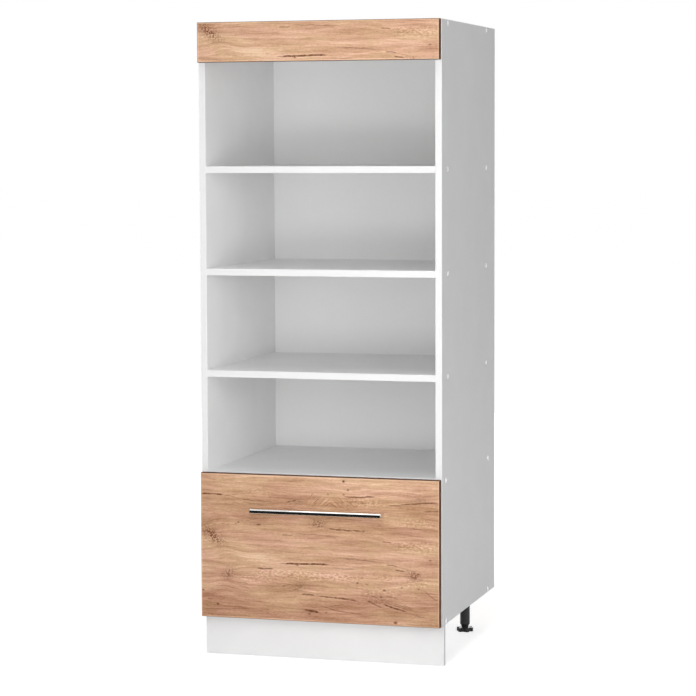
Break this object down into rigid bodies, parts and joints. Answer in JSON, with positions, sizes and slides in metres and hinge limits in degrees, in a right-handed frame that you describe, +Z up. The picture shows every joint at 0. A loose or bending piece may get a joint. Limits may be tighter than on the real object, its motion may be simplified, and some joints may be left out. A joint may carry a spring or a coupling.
{
  "type": "open-front pantry cabinet",
  "caption": "Tall open-front pantry cabinet with fixed white shelves, an oak-decor top strip, a deep oak-decor drawer on ball-bearing runners, a plinth and levelling legs.",
  "frame": {"origin": "on the floor, under the middle of the whole cabinet's box, handle included", "axes": "+X to the right as seen from the front, +Y towards the rear, +Z up"},
  "size_m": [0.6016, 0.605, 1.532],
  "materials": {
    "white_board": "white melamine, fine pearl texture",
    "hardboard": "white-faced thin hardboard, brown behind",
    "white_edge": "satin white edge strip",
    "oak_decor": "rustic golden oak decor, grain along X",
    "brown_edge": "brown edge strip, rounded to the face",
    "zinc_steel": "bright zinc plate",
    "ball_steel": "polished ball steel",
    "cage_plastic": "moulded ball cage",
    "cap_plastic": "moulded white cap",
    "black_plastic": "moulded black plastic",
    "bumper_rubber": "clear soft pad",
    "satin_metal": "satin nickel bar"
  },
  "bodies": {
    "cabinet": {"left_side_panel": "white_board", "right_side_panel": "white_board", "top_panel": "white_board", "upper_shelf": "white_board", "middle_shelf": "white_board", "lower_shelf": "white_board", "drawer_bay_shelf": "white_board", "bottom_panel": "white_board", "back_panel": "hardboard", "carcass_edge_strips": "white_edge", "board_screws": "zinc_steel", "screw_caps": "cap_plastic", "top_fascia": "oak_decor", "top_fascia_edge_strips": "brown_edge", "fascia_brackets": "zinc_steel", "fascia_bracket_screws": "zinc_steel", "leg_plates": "black_plastic", "leg_tubes": "black_plastic", "leg_screws": "zinc_steel", "plinth_board": "white_board", "plinth_clips": "black_plastic", "plinth_clip_screws": "zinc_steel", "runner_cabinet_member_left": "zinc_steel", "runner_cabinet_member_right": "zinc_steel", "runner_cabinet_screws": "zinc_steel"},
    "drawer": {"drawer_front": "oak_decor", "drawer_front_edge_strips": "brown_edge", "drawer_inner_front": "white_board", "drawer_back": "white_board", "drawer_side_left": "white_board", "drawer_side_right": "white_board", "drawer_bottom": "hardboard", "drawer_edge_strips": "white_edge", "drawer_box_screws": "zinc_steel", "drawer_front_screws": "zinc_steel", "drawer_bumpers": "bumper_rubber", "handle_bar": "satin_metal", "handle_posts": "satin_metal", "handle_screws": "zinc_steel", "runner_drawer_member_left": "zinc_steel", "runner_drawer_member_right": "zinc_steel", "runner_drawer_screws": "zinc_steel"},
    "runner_middle_left": {"runner_middle_member_left": "zinc_steel"},
    "outer_cage_left": {"outer_ball_cage_left": "cage_plastic", "outer_balls_left": "ball_steel"},
    "inner_cage_left": {"inner_ball_cage_left": "cage_plastic", "inner_balls_left": "ball_steel"},
    "runner_middle_right": {"runner_middle_member_right": "zinc_steel"},
    "outer_cage_right": {"outer_ball_cage_right": "cage_plastic", "outer_balls_right": "ball_steel"},
    "inner_cage_right": {"inner_ball_cage_right": "cage_plastic", "inner_balls_right": "ball_steel"},
    "foot_front_left": {"foot_front_left": "black_plastic"},
    "foot_front_right": {"foot_front_right": "black_plastic"},
    "foot_rear_left": {"foot_rear_left": "black_plastic"},
    "foot_rear_right": {"foot_rear_right": "black_plastic"}
  },
  "joints": [
    {"name": "drawer_slide", "type": "slide", "parent": "cabinet", "child": "drawer", "axis": [0, -1, 0], "range_m": [0, 0.45]},
    {"name": "runner_middle_left_slide", "type": "slide", "parent": "cabinet", "child": "runner_middle_left", "axis": [0, -1, 0], "range_m": [0, 0.225]},
    {"name": "outer_cage_left_slide", "type": "slide", "parent": "cabinet", "child": "outer_cage_left", "axis": [0, -1, 0], "range_m": [0, 0.1125]},
    {"name": "inner_cage_left_slide", "type": "slide", "parent": "cabinet", "child": "inner_cage_left", "axis": [0, -1, 0], "range_m": [0, 0.3375]},
    {"name": "runner_middle_right_slide", "type": "slide", "parent": "cabinet", "child": "runner_middle_right", "axis": [0, -1, 0], "range_m": [0, 0.225]},
    {"name": "outer_cage_right_slide", "type": "slide", "parent": "cabinet", "child": "outer_cage_right", "axis": [0, -1, 0], "range_m": [0, 0.1125]},
    {"name": "inner_cage_right_slide", "type": "slide", "parent": "cabinet", "child": "inner_cage_right", "axis": [0, -1, 0], "range_m": [0, 0.3375]},
    {"name": "foot_front_left_height", "type": "slide", "parent": "cabinet", "child": "foot_front_left", "axis": [0, 0, -1], "range_m": [0, 0.02]},
    {"name": "foot_front_right_height", "type": "slide", "parent": "cabinet", "child": "foot_front_right", "axis": [0, 0, -1], "range_m": [0, 0.02]},
    {"name": "foot_rear_left_height", "type": "slide", "parent": "cabinet", "child": "foot_rear_left", "axis": [0, 0, -1], "range_m": [0, 0.02]},
    {"name": "foot_rear_right_height", "type": "slide", "parent": "cabinet", "child": "foot_rear_right", "axis": [0, 0, -1], "range_m": [0, 0.02]}
  ],
  "couplings": [
    {"joint": "runner_middle_left_slide", "follows": "drawer_slide", "ratio": 0.5},
    {"joint": "outer_cage_left_slide", "follows": "drawer_slide", "ratio": 0.25},
    {"joint": "inner_cage_left_slide", "follows": "drawer_slide", "ratio": 0.75},
    {"joint": "runner_middle_right_slide", "follows": "drawer_slide", "ratio": 0.5},
    {"joint": "outer_cage_right_slide", "follows": "drawer_slide", "ratio": 0.25},
    {"joint": "inner_cage_right_slide", "follows": "drawer_slide", "ratio": 0.75}
  ]
}
